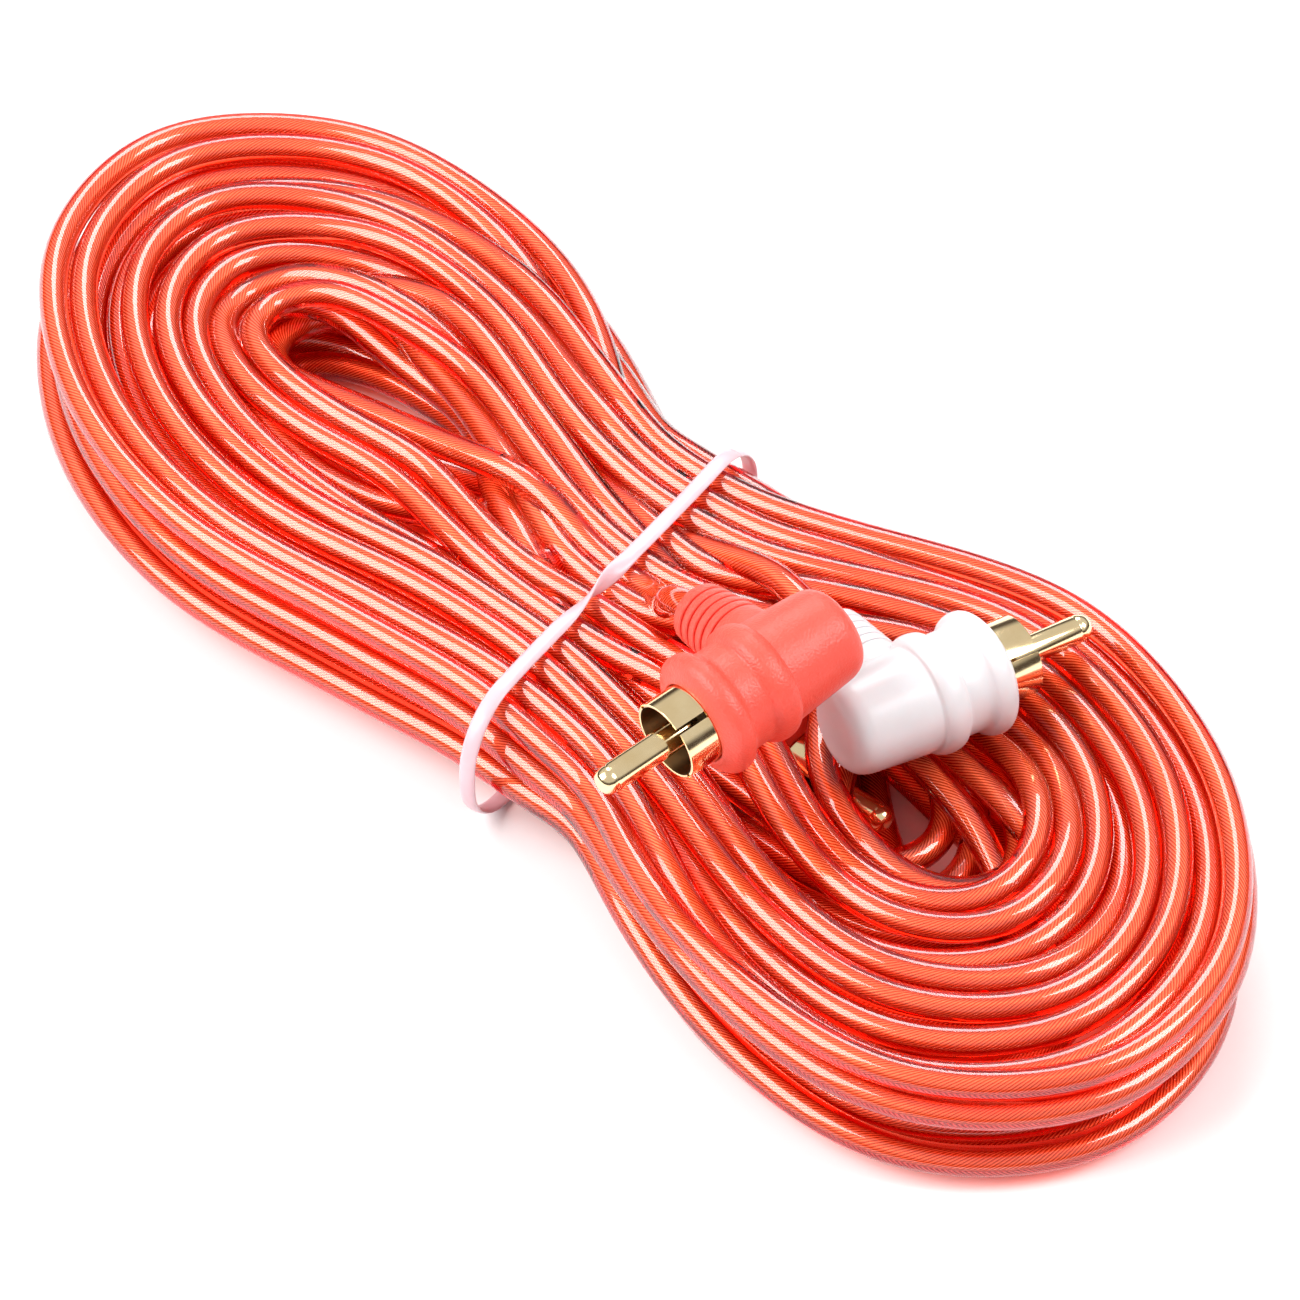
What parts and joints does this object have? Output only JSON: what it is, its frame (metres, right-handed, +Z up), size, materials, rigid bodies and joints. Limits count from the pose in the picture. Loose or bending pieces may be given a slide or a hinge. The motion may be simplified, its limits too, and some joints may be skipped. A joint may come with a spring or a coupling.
{
  "type": "twin phono audio cable",
  "caption": "Long twin screened audio cable wound into a tied hank, with right-angle phono plugs in red and white.",
  "frame": {"origin": "middle of the outline seen from above, on the surface that the hank rests on", "axes": "+X along the hank, from the end with no plugs on it towards the end with the near plugs; +Z up; +Y across the hank, the way the near white plug points"},
  "size_m": [0.1808, 0.069, 0.0396],
  "materials": {
    "lead_jacket": "clear red soft PVC over a spiral copper screen, glossy",
    "tie_band": "soft, milky, slightly translucent",
    "red_moulding": "fine orange-peel grain, satin",
    "white_moulding": "smooth satin gloss",
    "inner_mould": "natural hard polyethylene",
    "gold": "bright gold plating",
    "insulator": "dark moulded disc",
    "core_insulation": "natural foamed polyethylene",
    "copper": "bright bare copper strands"
  },
  "bodies": {
    "root": {"cable_hank": "lead_jacket", "near_red_lead_tail": "lead_jacket", "near_white_lead_tail": "lead_jacket", "tie_band": "tie_band", "near_red_plug_body": "red_moulding", "near_red_plug_inner_mould": "inner_mould", "near_red_plug_ground_shell": "gold", "near_red_plug_insulator": "insulator", "near_red_plug_centre_pin": "gold", "near_red_plug_core_insulation": "core_insulation", "near_red_plug_conductor": "copper", "near_red_plug_shield_pigtail": "copper", "near_white_plug_body": "white_moulding", "near_white_plug_inner_mould": "inner_mould", "near_white_plug_ground_shell": "gold", "near_white_plug_insulator": "insulator", "near_white_plug_centre_pin": "gold", "near_white_plug_core_insulation": "core_insulation", "near_white_plug_conductor": "copper", "near_white_plug_shield_pigtail": "copper", "far_red_plug_body": "red_moulding", "far_red_plug_inner_mould": "inner_mould", "far_red_plug_ground_shell": "gold", "far_red_plug_insulator": "insulator", "far_red_plug_centre_pin": "gold", "far_red_plug_core_insulation": "core_insulation", "far_red_plug_conductor": "copper", "far_red_plug_shield_pigtail": "copper", "far_white_plug_body": "white_moulding", "far_white_plug_inner_mould": "inner_mould", "far_white_plug_ground_shell": "gold", "far_white_plug_insulator": "insulator", "far_white_plug_centre_pin": "gold", "far_white_plug_core_insulation": "core_insulation", "far_white_plug_conductor": "copper", "far_white_plug_shield_pigtail": "copper"}
  },
  "joints": []
}
